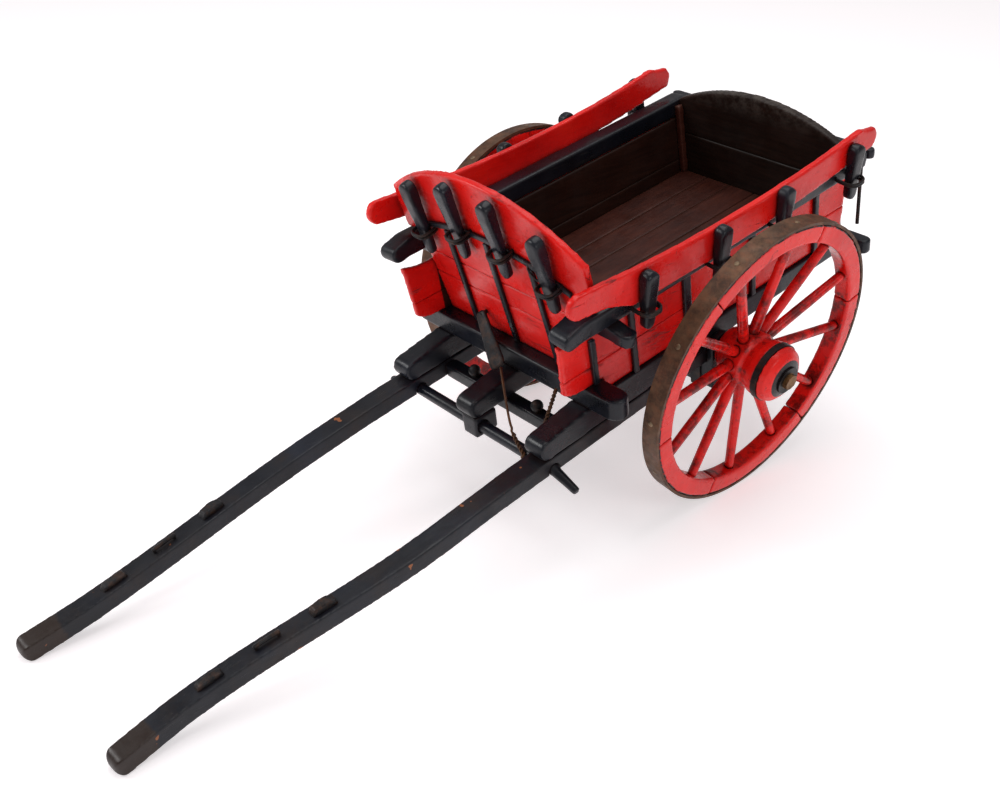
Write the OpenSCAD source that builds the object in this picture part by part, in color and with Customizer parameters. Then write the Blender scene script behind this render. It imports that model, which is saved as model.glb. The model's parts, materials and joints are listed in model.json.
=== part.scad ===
// Two-wheeled tipping cart, put together from separate wooden and iron pieces.
// X runs across the cart, -Y points forward along the shafts, +Z is up.
// The tub tips on two pins at the axle, and its tailboard lifts out.

/* [Wheels] */
// Diameter over the iron tyre
wheel_d = 250; // [240:1:300]
// Width of the rim
rim_w = 15.4; // [12:0.2:18.6]
// Thickness of the iron tyre
tyre_t = 2.4; // [1.6:0.1:3]
// Depth of the wooden felloes
felloe_h = 15.75; // [13:0.25:19]
// Number of spokes, two to each felloe
spoke_count = 12; // [8:2:14]
// Radius of a spoke where it leaves the hub
spoke_r_hub = 4.6; // [3.6:0.1:5]
// Radius of a spoke where it meets the rim
spoke_r_rim = 3.9; // [3.4:0.1:4.6]
// Radius of the round tenon on each spoke
tenon_r = 3; // [2.4:0.1:3.2]
// Radius of the hub over its widest turning
hub_r = 24.4; // [22:0.2:30]
// Length of the hub in front of the rim's face
hub_out = 22; // [21:0.5:27]
// Length of the hub behind the rim's face
hub_in = 38.5; // [33:0.5:39]
// Tilt of each wheel, foot inward
camber = 7; // [3:0.5:9]

/* [Axle] */
// Radius of the iron axle arm
arm_r = 5; // [4:0.25:6]
// Half length of the wooden axle bed
bed_half = 99; // [98:0.5:101]
// Length of the axle bed along the cart
bed_w = 26; // [22:1:32]
// Depth of the axle bed under the shafts
bed_h = 24.7; // [18:0.5:30]
// Thickness of the cheeks that carry the arms
cheek_t = 7; // [5:0.5:7]
// Height of the cheeks over the underside of the shafts
cheek_h = 25.3; // [22:0.5:28]

/* [Shafts] */
// Distance from the axle to the centre of the shaft's tip
shaft_len = 552; // [460:1:660]
// How far the tip hangs below the axle's line
tip_drop = 37; // [30:1:46]
// Distance of the shafts' roots from the middle
shaft_root_x = 81; // [80:0.5:82]
// Distance of the right shaft's tip from the middle
tip_x_right = 62.5; // [50:0.5:80]
// Distance of the left shaft's tip from the middle
tip_x_left = 72; // [50:0.5:80]
// Depth of a shaft at the axle
shaft_h_root = 14; // [12:0.5:16]
// Radius of the rounded tip
tip_r = 7.25; // [5:0.25:8]
// Width of a shaft at the axle
shaft_w_root = 21; // [18:0.5:21]
// Width of a shaft at its tip
shaft_w_tip = 17; // [13:0.5:19]
// Radius of the round crossbar between the shafts
crossbar_r = 5.3; // [4.3:0.1:6]
// Distance from the axle to the crossbar
crossbar_back = 187; // [180:1:196]
// Reach of the crossbar's pegs past each shaft
peg_len = 24; // [10:1:30]

/* [Tub] */
// Length of the tub's bearers behind the axle
bearer_rear = 186; // [183:1:200]
// Length of the tub's bearers in front of the axle
bearer_front = 199; // [194:1:206]
// Width of a bearer
bearer_w = 20; // [16:0.5:20]
// Height of the sills
sill_h = 18; // [15:0.5:22]
// Thickness of the floor boards
floor_t = 6; // [4:0.5:8]
// Number of floor boards
floor_count = 6; // [4:1:8]
// Width of the sills along the cart
sill_w = 19; // [16:0.5:19]
// Reach of the front and rear sills from the middle
sill_half = 120; // [112:1:122]

/* [Sides] */
// Distance of the sides' outer faces from the middle at their feet
panel_x = 88; // [87.5:0.25:90]
// Thickness of the side planks
side_t = 5; // [3.5:0.25:6]
// Height of the side planks
side_h = 72; // [60:1:88]
// Height of the long rail along each side's top
rail_h = 16; // [13:0.5:19]
// How far the long rail stands out from the planks
rail_out = 14; // [11:0.5:14]
// Outward lean of the sides
flare = 4.4; // [2:0.2:6]
// Height of the curved board above the rail's foot
topboard_h = 32.4; // [26.8:0.4:38.8]
// Thickness of the curved top boards
topboard_t = 6; // [4.5:0.25:6]
// Width of the stakes
stake_w = 13.5; // [8:0.5:14]
// Thickness of the stakes
stake_t = 10; // [7:0.5:10]

/* [Ends] */
// Thickness of the front boards
front_t = 6; // [4.5:0.25:6]
// Forward lean of the front boards
front_lean = 11; // [8:0.5:12]
// Height of the headboard's crown over the sill
head_h = 154.8; // [142:1:182]
// Radius of the headboard's arch
head_arch_r = 175; // [155:1:210]
// Thickness of the tailboard
tail_t = 8; // [6:0.5:8]
// Height of the tailboard's crown over the sill
tail_h = 98; // [88:1:117]
// Radius of the tailboard's arch
tail_arch_r = 195; // [165:1:235]

/* [Iron] */
// Radius of the tipping pins
pin_r = 3; // [2.4:0.1:3.4]
// Radius of the stakes' wire ties
tie_r = 0.9; // [0.6:0.1:1]
// Radius of the twisted lock wire
wire_r = 1.1; // [0.8:0.1:1.3]
// Radius of the rear corner rods
rod_r = 1.6; // [1:0.1:2]

/* [Fits] */
// Radial clearance of the turning fits
running_fit = 0.06; // [0.03:0.01:0.1]
// Gap between fixed pieces that are let into each other
joinery_gap = 0.2; // [0.1:0.05:0.4]
// Gap between pieces that move past each other
moving_gap = 0.3; // [0.3:0.05:0.6]
// Gap between a wheel's inner face and the stakes, at the axle
wheel_gap = 3.2; // [3:0.2:12]

/* [Hidden] */
$fn = 64;

red = [0.86, 0.13, 0.11];
navy = [0.12, 0.13, 0.18];
dark_wood = [0.22, 0.12, 0.08];
iron = [0.16, 0.15, 0.15];
rust = [0.4, 0.28, 0.18];

// Wheels
wheel_r = wheel_d / 2;
felloe_r_out = wheel_r - tyre_t - joinery_gap / 2;
felloe_r_in = felloe_r_out - felloe_h;
felloe_count = spoke_count / 2;
felloe_split = 0.5;
tenon_len = 6;
spoke_root_r = hub_r - 4.6;
spoke_root_z = -18.75;
spoke_end_z = -rim_w / 2;
spoke_tilt = atan2(spoke_end_z - spoke_root_z, felloe_r_in - spoke_root_r);
spoke_len = (felloe_r_in - joinery_gap - spoke_root_r) / cos(spoke_tilt) - spoke_r_rim * tan(spoke_tilt);
spoke_phase = -2;
spoke_step = 360 / spoke_count;
band_z = 5.7;
band_w = 5.4;
band_t = 2.6;
band_r = hub_r - band_t;
axle_z = wheel_r * cos(camber);

// Shafts, in the cart's own frame: the origin is on the axle's line
shaft_top_z = 2.7;
bed_rise = 0.037;
pivot_z = shaft_top_z - shaft_h_root / 2;
bend_y = -215;
bend_soft = 45;
curve_start = 292;
curve_end = 509;
tip_corner = 6;
tip_flick = 2.5;
bed_top_z = shaft_top_z - shaft_h_root;
crossbar_z = -16;

// The whole cart stands on its wheels and on the shafts' tips
tip_reach = norm([shaft_len, tip_drop]);
pitch = asin((axle_z - tip_r) / tip_reach) - atan2(tip_drop, shaft_len);
tip_front = -shaft_len * cos(pitch) + tip_drop * sin(pitch) - tip_r;
bearer_end_z = shaft_top_z + moving_gap + bed_rise * bearer_rear;
tail_end = bearer_rear * cos(pitch) - bearer_end_z * sin(pitch);
axle_y = -(tip_front + tail_end) / 2;

// Tub
bearer_z = 23.5;
sill_z = 18;
sill_top = sill_z + sill_h;
floor_top = sill_top + floor_t;
front_sill_y = -147;
rear_sill_y = 164;
front_y = front_sill_y + 13;
ledge = 10;
tail_y = rear_sill_y - 1;
rail_end_y = tail_y + tail_t + 5;
panel_end_y = rail_end_y - 4;
stake_rise = 62;
stake_len = 50;
stake_foot_w = rail_out + joinery_gap + topboard_t + joinery_gap;
stake_outer_x = panel_x + (stake_foot_w + stake_t) * cos(flare) + stake_rise * sin(flare);
track_half = stake_outer_x + wheel_gap + rim_w * cos(camber);
side_stakes_y = [-107, -26, 49, 139];
side_strips_y = [-97, -35, 45, 129];
cross_w = 14.5;
cross_h = 11.5;
cross_z = panel_z_at(side_h, rail_out) - joinery_gap - cross_h;
cross_y = front_y - (cross_z - sill_top) * tan(front_lean) + front_t / cos(front_lean) + joinery_gap;

// Front
front_joints = [39, 62];
front_stakes_x = [-71.25, -23.75, 23.75, 71.25];
front_stake_len = 70;
front_strips_x = [-47.5, 0, 47.5];
front_rail_t = 3;
front_rail_h = 4.5;
front_rail_r = 237;
front_rail_top = 106.7;
shoulder_z = panel_z_at(side_h + rail_h, -side_t) + joinery_gap;
shoulder_v = (shoulder_z - sill_top) / cos(front_lean);
head_half = panel_x + (rail_out + joinery_gap) * cos(flare) + side_h * sin(flare) - 0.5;

// Height in the cart's frame of a point v up and w out on a side
function panel_z_at(v, w) = bearer_z + v * cos(flare) - w * sin(flare);
// Distance up a side of a height in the cart's frame
function up_side(z) = (z - bearer_z) / cos(flare);
// Distance from the middle to a side's inner face
function inner_x(z) = panel_x - side_t / cos(flare) + (z - bearer_z) * tan(flare);
function smooth(t) = t <= 0 ? 0 : t >= 1 ? 1 : t * t * (3 - 2 * t);
function mix(a, b, t) = a + (b - a) * t;
function arch(x, r) = r - sqrt(r * r - x * x);

// Line of the bearers' undersides over the shafts
function bed_line(y) = shaft_top_z + bed_rise * y;
function bend(y) = y > bend_y ? 0 : norm([bend_y - y, bend_soft]) - bend_soft;
bend_slope = (bed_line(-shaft_len) + tip_drop - tip_r) / bend(-shaft_len);
function shaft_top(y) = bed_line(y) - bend_slope * bend(y);
function shaft_h(y) = mix(shaft_h_root, 2 * tip_r, min(1, -y / shaft_len));
function shaft_w(y) = mix(shaft_w_root, shaft_w_tip, smooth(-y / curve_end));
// Distance of a shaft's centre line from the middle: its tip flicks a little outward
function shaft_x(y, tip_x) = mix(shaft_root_x, tip_x, smooth((-y - curve_start) / (curve_end - curve_start)))
  + tip_flick * smooth((-y - curve_end) / (shaft_len - curve_end));
function tip_x(side) = side > 0 ? tip_x_right : tip_x_left;
function tip_round(y) =
  tip_corner * (1 - sqrt(1 - pow(min(1, max(0, 1 - (y + shaft_len + tip_r) / tip_corner)), 2)));

// Frames
module on_side(side) {
  if (side > 0) children();
  else mirror([1, 0, 0]) children();
}
module cart() translate([0, axle_y, axle_z]) rotate([pitch, 0, 0]) children();
module wheel_frame(side) {
  on_side(side) translate([track_half, axle_y, axle_z]) rotate([0, 90 + camber, 0]) children();
}
module side_frame(side) {
  cart() on_side(side) translate([panel_x, 0, bearer_z]) rotate([0, flare, 0]) children();
}
module front_frame() cart() translate([0, front_y, sill_top]) rotate([front_lean, 0, 0]) children();

// A flat piece drawn in Y and Z, between two distances along X
module across(x0, x1) translate([x0, 0, 0]) rotate([90, 0, 90]) linear_extrude(x1 - x0) children();
// A flat piece drawn in X and Z, between two distances forward
module forward(y0, y1) translate([0, -y0, 0]) rotate([90, 0, 0]) linear_extrude(y1 - y0) children();
// A block between two corners
module block(low, high) translate(low) cube(high - low);
// A round bar between two points
module rod(p, q, r) {
  d = q - p;
  translate(p) rotate([0, acos(d[2] / norm(d)), atan2(d[1], d[0])]) cylinder(h = norm(d), r = r, $fn = 24);
}
// A bar across the cart with half-round ends
module round_bar(half, low, high) {
  end_r = (high[0] - low[0]) / 2;
  block([-half + end_r, low[0], low[1]], [half - end_r, high[0], high[1]]);
  for (s = [-1, 1]) {
    translate([s * (half - end_r), low[0] + end_r, low[1]]) cylinder(h = high[1] - low[1], r = end_r);
  }
}

// Wheels: the frame's Z is the axle, its origin is on the rim's outer face
module spoke_frame(i) {
  rotate([0, 0, 90 + spoke_phase + i * spoke_step]) translate([spoke_root_r, 0, spoke_root_z])
    rotate([0, 90 - spoke_tilt, 0]) children();
}
module hub_turning() {
  rotate_extrude($fn = 96) polygon([[0, -hub_in], [0.67 * hub_r, -hub_in], [0.9 * hub_r, -31],
    [0.975 * hub_r, -27.5], [0.975 * hub_r, -10], [0.87 * hub_r, -7.5], [0.97 * hub_r, 0], [hub_r, band_z],
    [hub_r, band_z + band_w], [0.92 * hub_r, 16.5], [0.74 * hub_r, 20], [0.51 * hub_r, hub_out],
    [0, hub_out]]);
}
module hub(side) color(red) wheel_frame(side) difference() {
  hub_turning();
  translate([0, 0, -hub_in - 1]) cylinder(h = hub_in + hub_out + 2, r = arm_r + running_fit);
  translate([0, 0, band_z]) ring(band_w, band_r, hub_r + 1);
  for (i = [0:spoke_count - 1]) {
    spoke_frame(i) cylinder(h = hub_r, r = spoke_r_hub + joinery_gap / 2);
  }
}
module ring(h, r_in, r_out) difference() {
  cylinder(h = h, r = r_out, $fn = 128);
  translate([0, 0, -1]) cylinder(h = h + 2, r = r_in, $fn = 128);
}
module hub_band(side) color(iron) wheel_frame(side) {
  translate([0, 0, band_z + joinery_gap / 2])
    ring(band_w - joinery_gap, band_r + joinery_gap / 2, hub_r + 0.6);
}
module spoke() {
  translate([0, 0, joinery_gap])
    cylinder(h = spoke_len - joinery_gap, r1 = spoke_r_hub, r2 = spoke_r_rim, $fn = 32);
  translate([0, 0, spoke_len - 1]) cylinder(h = tenon_len, r = tenon_r, $fn = 32);
}
module spokes(side) color(red) wheel_frame(side) {
  for (i = [0:spoke_count - 1]) spoke_frame(i) spoke();
}
module felloes(side) color(red) wheel_frame(side) difference() {
  rotate_extrude($fn = 128) polygon([[felloe_r_in, -rim_w + 1.4], [felloe_r_in + 1.4, -rim_w],
    [felloe_r_out, -rim_w], [felloe_r_out, 0], [felloe_r_in + 1.4, 0], [felloe_r_in, -1.4]]);
  for (i = [0:felloe_count - 1]) {
    rotate([0, 0, 90 + spoke_phase + (2 * i + 0.5) * spoke_step])
      block([felloe_r_in - 1, -felloe_split / 2, -rim_w - 1], [felloe_r_out + 1, felloe_split / 2, 1]);
  }
  for (i = [0:spoke_count - 1]) {
    spoke_frame(i) cylinder(h = spoke_len + tenon_len, r = tenon_r + joinery_gap / 2, $fn = 32);
  }
}
module tyre(side) color(rust) wheel_frame(side) {
  translate([0, 0, -rim_w]) ring(rim_w, wheel_r - tyre_t, wheel_r);
}

// Running gear: everything that stays with the shafts
module shaft_outline() {
  steps = 28;
  ys = [for (i = [0:steps]) -shaft_len * i / steps];
  polygon(concat([for (y = ys) [y, shaft_top(y)]],
    [for (a = [100:10:260]) [-shaft_len + tip_r * cos(a), -tip_drop + tip_r * sin(a)]],
    [for (i = [steps:-1:0]) [ys[i], shaft_top(ys[i]) - shaft_h(ys[i])]]));
  translate([0, pivot_z]) circle(r = shaft_h_root / 2);
}
module shaft_plan(side) {
  steps = 24;
  ys = concat([for (i = [0:steps]) mix(shaft_h_root, -shaft_len, i / steps)],
    [for (a = [0:15:90]) -shaft_len - tip_r + tip_corner * (1 - sin(a))]);
  rows = [for (y = ys) [shaft_x(y, tip_x(side)), shaft_w(y) / 2 - tip_round(y), y]];
  polygon(concat([for (p = rows) [p[0] + p[1], p[2]]],
    [for (i = [len(rows) - 1:-1:0]) [rows[i][0] - rows[i][1], rows[i][2]]]));
}
module shaft(side) color(navy) cart() on_side(side) difference() {
  intersection() {
    across(0, shaft_root_x + shaft_w_root) shaft_outline();
    translate([0, 0, -tip_drop - 2 * tip_r]) linear_extrude(tip_drop + 4 * tip_r) shaft_plan(side);
  }
  block([0, -bed_w / 2 - joinery_gap, bed_top_z - bed_h], [bed_half, bed_w / 2 + joinery_gap, bed_top_z]);
  rotate([0, 90, 0]) translate([-crossbar_z, -crossbar_back, 0])
    cylinder(h = bed_half, r = crossbar_r + joinery_gap / 2);
  rotate([0, 90, 0]) translate([-pivot_z, 0, 0])
    cylinder(h = shaft_root_x + shaft_w_root / 2 - 5, r = pin_r + joinery_gap / 4);
}
peg_droop = 20;
module crossbar() color(navy) cart() {
  reach = shaft_root_x + shaft_w_root / 2;
  rod([-reach, -crossbar_back, crossbar_z], [reach, -crossbar_back, crossbar_z], crossbar_r, $fn = 48);
  for (s = [-1, 1]) {
    on_side(s) translate([reach - 3, -crossbar_back, crossbar_z]) rotate([0, 90 + peg_droop, 0])
      cylinder(h = peg_len + 3, r1 = 0.9 * crossbar_r, r2 = 0.66 * crossbar_r);
  }
}
module tongue_block() color(navy) cart() difference() {
  block([-9, -crossbar_back - 8, crossbar_z - 8], [9, -crossbar_back + 15, bed_line(-crossbar_back) - 0.5]);
  rotate([0, 90, 0]) translate([-crossbar_z, -crossbar_back, -10])
    cylinder(h = 20, r = crossbar_r + joinery_gap / 2);
}
crosspiece_y = -160;
crosspiece_top = -5;
module rear_crosspiece() color(navy) cart() difference() {
  half = shaft_root_x - shaft_w_root / 2 - joinery_gap;
  block([-half, crosspiece_y, crosspiece_top - 12], [half, crosspiece_y + 12, crosspiece_top]);
  for (x = [-38, 38]) {
    translate([x, crosspiece_y + 6, crosspiece_top - 8]) cylinder(h = 20, r = 2 + joinery_gap / 2);
  }
}
module crosspiece_bolts() color(iron) cart() {
  for (x = [-38, 38]) translate([x, crosspiece_y + 6, crosspiece_top]) {
    translate([0, 0, -7.5]) cylinder(h = 8, r = 2);
    cylinder(h = 3, r = 3.4);
    translate([0, 0, 5.2]) sphere(r = 5.2);
  }
}
// The axle's arms point as the wheels do, whatever the pitch of the cart
module arm_frame(side) {
  rotate([-pitch, 0, 0]) on_side(side) translate([track_half, 0, 0]) rotate([0, 90 + camber, 0]) children();
}
arm_root = (track_half - bed_half + cheek_t - 0.8) / cos(camber);
module axle_bed() color(navy) cart() difference() {
  union() {
    block([-bed_half, -bed_w / 2, bed_top_z - bed_h], [bed_half, bed_w / 2, bed_top_z]);
    for (s = [-1, 1]) on_side(s) across(bed_half - cheek_t, bed_half) {
      translate([-bed_w / 2, bed_top_z - 1]) square([bed_w, cheek_h + 1 - bed_w / 2]);
      translate([0, bed_top_z + cheek_h - bed_w / 2]) circle(r = bed_w / 2);
    }
  }
  for (s = [-1, 1]) {
    arm_frame(s) translate([0, 0, -arm_root - 5]) cylinder(h = arm_root, r = arm_r + joinery_gap / 4);
  }
}
module axle_arms() color(iron) cart() {
  for (s = [-1, 1]) arm_frame(s) {
    translate([0, 0, -arm_root]) cylinder(h = arm_root + hub_out + 1, r = arm_r);
    translate([0, 0, -(track_half - bed_half) / cos(camber) + 1.3]) cylinder(h = 2, r = 9);
  }
}
module axle_straps() color(iron) cart() {
  for (x = [-shaft_root_x, shaft_root_x]) translate([x, 0, 0]) across(-5, 5) difference() {
    translate([-bed_w / 2 - 1.4, bed_top_z - bed_h - 1.4]) square([bed_w + 2.8, bed_h]);
    translate([-bed_w / 2, bed_top_z - bed_h]) square([bed_w, bed_h + 1]);
  }
}
module tip_pins() color(iron) cart() for (s = [-1, 1]) on_side(s) {
  rod([hinge_x - 4, 0, pivot_z], [shaft_root_x + shaft_w_root / 2 - 5.5, 0, pivot_z], pin_r, $fn = 48);
}
module staple_at(y, side) {
  slope = atan((shaft_top(y + 5) - shaft_top(y - 5)) / 10);
  turn = -atan((shaft_x(y + 5, tip_x(side)) - shaft_x(y - 5, tip_x(side))) / 10);
  on_side(side) translate([shaft_x(y, tip_x(side)), y, shaft_top(y)]) rotate([slope, 0, turn]) children();
}
module shaft_staples() color(iron) cart() for (s = [-1, 1]) {
  staple_at(-481, s) translate([-3.5, 0, -0.6]) across(0, 7)
    polygon([[-11, 0], [11, 0], [9, 3.6], [2, 4.4], [-8, 3.6]]);
  staple_at(-436, s) {
    for (leg = [-9, 9]) rod([0, leg, -4], [0, leg, 3], 1.3);
    rod([0, -10.5, 3], [0, 10.5, 3], 1.7);
  }
  staple_at(-393, s) translate([-4, 0, -0.6]) across(0, 8)
    polygon([[-10, 0], [11, 0], [10, 4.5], [3, 6.6], [-7, 5.4]]);
}
module hub_nut(side) color(iron) wheel_frame(side) difference() {
  union() {
    translate([0, 0, hub_out + moving_gap]) cylinder(h = 1.6, r = 11.6);
    translate([0, 0, hub_out + moving_gap + 1.6]) cylinder(h = 3.4, r = 6.6, $fn = 8);
  }
  cylinder(h = hub_out + 1.1, r = arm_r + joinery_gap / 4);
}

// The lock wire is hooked round the crossbar and runs up to the latch bar and the front sill
lock_x = 62;
lock_ring_r = crossbar_r + moving_gap + wire_r;
// The wire's legs leave the ring along its tangents
front_hook_yz = [22, 48];
rear_hook_yz = [37.5, 40];
function leg_angle(yz, way) = atan2(yz[1], yz[0]) + way * acos(lock_ring_r / norm(yz));
function ring_point(angle) =
  [lock_x, -crossbar_back + lock_ring_r * cos(angle), crossbar_z + lock_ring_r * sin(angle)];
module lock_wire() color(iron) cart() {
  front_angle = leg_angle(front_hook_yz, 1);
  rear_angle = leg_angle(rear_hook_yz, -1);
  front_hook = [bearer_w / 2 + 1.3 * wire_r + 2 * moving_gap,
    front_hook_yz[0] - crossbar_back, front_hook_yz[1] + crossbar_z];
  rear_hook = [lock_x - 4, rear_hook_yz[0] - crossbar_back, rear_hook_yz[1] + crossbar_z];
  rod(ring_point(front_angle), front_hook, wire_r);
  rod(ring_point(rear_angle), rear_hook, wire_r);
  translate([lock_x, -crossbar_back, crossbar_z]) rotate([90, 0, 90]) rotate([0, 0, front_angle])
    rotate_extrude(angle = 360 + rear_angle - front_angle, $fn = 48)
      translate([lock_ring_r, 0]) circle(r = wire_r, $fn = 24);
  for (p = [ring_point(front_angle), ring_point(rear_angle), front_hook, rear_hook]) {
    translate(p) sphere(r = 1.3 * wire_r, $fn = 24);
  }
}

// Tub
module sill_bar(y0, y1, half, gap) {
  round_bar(half + gap, [y0 - gap, sill_z - gap], [y1 + gap, sill_top + gap]);
}
module front_sill_space(gap) {
  sill_bar(front_sill_y, front_sill_y + sill_w, sill_half, gap);
  block([-ledge_half - gap, front_sill_y + 5, sill_z - gap],
    [ledge_half + gap, front_sill_y + sill_w + ledge + gap, sill_top]);
}
module mid_sill_space(gap) {
  block([-ledge_half - gap, -sill_w / 2 - gap, sill_z - gap], [ledge_half + gap, sill_w / 2 + gap, sill_top]);
}
// The rear sill's ends are cut down to low round horns
horn_inset = 3;
horn_drop = 3;
horn_h = 13;
module rear_sill_space(gap) {
  block([-ledge_half - gap, rear_sill_y - ledge - gap, sill_z - gap],
    [ledge_half + gap, rear_sill_y + sill_w + gap, sill_top]);
  round_bar(sill_half - 2 + gap, [rear_sill_y + horn_inset - gap, sill_z - horn_drop - gap],
    [rear_sill_y + sill_w - horn_inset + gap, sill_z - horn_drop + horn_h + gap]);
}
ledge_half = inner_x(sill_z) - joinery_gap;
module front_sill() color(navy) cart() front_sill_space(0);
module mid_sill() color(navy) cart() mid_sill_space(0);
module rear_sill() color(navy) cart() rear_sill_space(0);

nose_r = 8.6;
module bearer(x) color(navy) cart() difference() {
  across(x - bearer_w / 2, x + bearer_w / 2) {
    polygon([[bearer_rear, bearer_end_z], [bearer_rear, bearer_z], [-130, bearer_z], [-142, 19.5],
      [-bearer_front + nose_r, nose_z + nose_r], [-bearer_front + nose_r, nose_z - nose_r]]);
    translate([-bearer_front + nose_r, nose_z]) circle(r = nose_r);
  }
  front_sill_space(joinery_gap);
  mid_sill_space(joinery_gap);
  rear_sill_space(joinery_gap);
}
nose_z = bed_line(-bearer_front + nose_r) + moving_gap + nose_r;

floor_half = inner_x(sill_top) - 2 * joinery_gap;
floor_front = front_y + front_t + joinery_gap;
floor_rear = tail_y - moving_gap;
module floor_planks() color(dark_wood) cart() {
  board = (2 * floor_half + joinery_gap) / floor_count;
  for (i = [0:floor_count - 1]) {
    block([-floor_half + i * board, floor_front, sill_top],
      [-floor_half + (i + 1) * board - joinery_gap, floor_rear, floor_top]);
  }
}

// Sides, seen from the right: the outline is drawn with Y forward-negative and V up the lean
wing_low_y = -169;
wing_top_y = -173;
plank_joint = 30.5;
function wing_y(z) = mix(wing_low_y, wing_top_y, (z - 42) / 46);
module side_outline() {
  polygon([[panel_end_y, 0], [panel_end_y, side_h], [-122, side_h], [-129, up_side(cross_z + 2)],
    [-146, up_side(cross_z + 0.5)], [-160, up_side(cross_z + 2)], [-174, up_side(cross_z + 6)],
    [wing_y(80), up_side(80)], [wing_low_y, up_side(42)], [-163, up_side(38.5)], [-157, up_side(37)],
    [front_sill_y - 2, up_side(sill_top + joinery_gap)], [front_sill_y + sill_w + 1, up_side(sill_top)],
    [front_sill_y + sill_w + 1, 0]]);
}
module side_planks(side, v0, v1) color(red) difference() {
  side_frame(side) across(-side_t, 0) intersection() {
    side_outline();
    translate([-250, v0]) square([500, v1 - v0]);
  }
  cart() {
    front_sill_space(joinery_gap);
    rear_sill_space(joinery_gap);
    cross_bar_space(joinery_gap);
  }
}
module side_rail(side) color(navy) side_frame(side) across(-side_t, rail_out) {
  tip = rail_h / 2 - 1;
  polygon([[rail_end_y, side_h], [rail_end_y, side_h + rail_h], [-160, side_h + rail_h],
    [-180 + tip, side_h + 2 * tip - 1.5], [-180 + tip, side_h - 1.5], [-163, side_h]]);
  translate([-180 + tip, side_h + tip - 1.5]) circle(r = tip);
}
strip_w = 5.5;
strip_t = 3.5;
strip_lean = 7;
module strip_shape(y, v0, v1, w) {
  run = (v1 - v0) * tan(strip_lean);
  polygon([[y - w / 2, v0], [y + w / 2, v0], [y + w / 2 - run, v1], [y - w / 2 - run, v1]]);
}
module side_strips(side) color(navy) side_frame(side) across(0, strip_t) {
  top = side_h - joinery_gap;
  foot = strip_t * tan(flare) + joinery_gap;
  for (i = [0:3]) strip_shape(side_strips_y[i] + 4, foot, top, i == 1 ? strip_w + 2.5 : strip_w);
  strip_shape(-137, up_side(sill_top + 1), up_side(cross_z - 1), strip_w);
}
// A stake stands on the origin, its back flat on Y = 0, with a rounded head and foot
module stake(length, foot_t, head_t) intersection() {
  foot_r = 0.4 * stake_w;
  forward(-head_t - 1, 1) {
    polygon([[-foot_r, foot_r], [foot_r, foot_r],
      [stake_w / 2, length - stake_w / 2], [-stake_w / 2, length - stake_w / 2]]);
    translate([0, foot_r]) circle(r = foot_r);
    translate([0, length - stake_w / 2]) circle(r = stake_w / 2);
  }
  across(-stake_w, stake_w) polygon([[0, -1], [foot_t, -1], [foot_t, 0.3 * length], [head_t, 0.8 * length],
    [head_t, length - 3], [head_t - 3, length + 1], [0, length + 1]]);
}
module side_stakes(side) color(navy) side_frame(side) for (y = side_stakes_y) {
  translate([stake_foot_w, y, stake_rise]) rotate([0, 0, -90]) stake(stake_len, 0.8 * stake_t, stake_t);
}
topboard_rise = 10.2;
topboard_z = panel_z_at(side_h, 0) + topboard_rise;
function topboard_low(y) = topboard_z + 12.5 * pow((y + 30) / 200, 2);
function topboard_high(y) = topboard_z - 6.2 + topboard_h + 8.8 * pow((y - 5) / 150, 2);
module sideboard(side) color(red) side_frame(side)
  across(rail_out + joinery_gap, rail_out + joinery_gap + topboard_t) {
  nose_y = -181;
  nose_low = topboard_low(-118) + 15.6;
  nose_high = topboard_high(-150) + 2;
  tip = (nose_high - nose_low) / 2;
  polygon([for (p = concat([for (y = [-118:22.5:152]) [y, topboard_low(y)]],
    [[172, topboard_low(172)], [rail_end_y - 0.5, topboard_low(172) + 10],
      [172, topboard_low(172) + 17], [160, topboard_low(172) + 19]],
    [for (y = [152:-27:-145]) [y, topboard_high(y)]],
    [[nose_y + tip, nose_high], [nose_y + tip, nose_low],
      [-144, nose_low - 4.5], [-130, nose_low - 10]])) [p[0], up_side(p[1])]]);
  translate([nose_y + tip, up_side(nose_low + tip)]) circle(r = tip / cos(flare));
}

// Front boards, drawn on their leaning face: X across, V up the lean
function front_half(v) = inner_x(sill_top + v * cos(front_lean)) - 2 * joinery_gap;
module front_board(v0, v1) {
  polygon([[-front_half(v0), v0], [front_half(v0), v0], [front_half(v1), v1], [-front_half(v1), v1]]);
}
module front_plank_low() color(red) front_frame() forward(-front_t, 0) front_board(0, front_joints[0]);
module front_plank_top() color(red) front_frame()
  forward(-front_t, 0) front_board(front_joints[0], front_joints[1]);
module headboard() color(red) front_frame() forward(-front_t, 0) {
  front_board(front_joints[1], shoulder_v + 0.01);
  intersection() {
    translate([-head_half, shoulder_v]) square([2 * head_half, head_h]);
    translate([0, head_h - head_arch_r]) circle(r = head_arch_r, $fn = 180);
  }
}
module front_rail() color(navy) front_frame() forward(0, front_rail_t) intersection() {
  translate([-88, shoulder_v]) square([176, head_h]);
  difference() {
    translate([0, front_rail_top - front_rail_r]) circle(r = front_rail_r, $fn = 180);
    translate([0, front_rail_top - front_rail_r]) circle(r = front_rail_r - front_rail_h, $fn = 180);
  }
}
module front_strips() color(navy) front_frame() forward(0, front_rail_t) for (x = front_strips_x) {
  translate([x - 2.5, 1])
    square([5, front_rail_top - arch(x, front_rail_r) - front_rail_h - joinery_gap - 2]);
}
function front_stake_foot(x) = head_h - 1.5 - arch(x, head_arch_r) - front_stake_len;
module front_stakes() color(navy) front_frame() for (x = front_stakes_x) {
  translate([x, -front_rail_t - joinery_gap, front_stake_foot(x)]) rotate([0, 0, 180])
    stake(front_stake_len, 0.66 * stake_t, stake_t);
}
module cross_bar_space(gap) {
  block([-106, cross_y - gap, cross_z - gap], [106, cross_y + cross_w + gap, cross_z + cross_h]);
}
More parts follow.
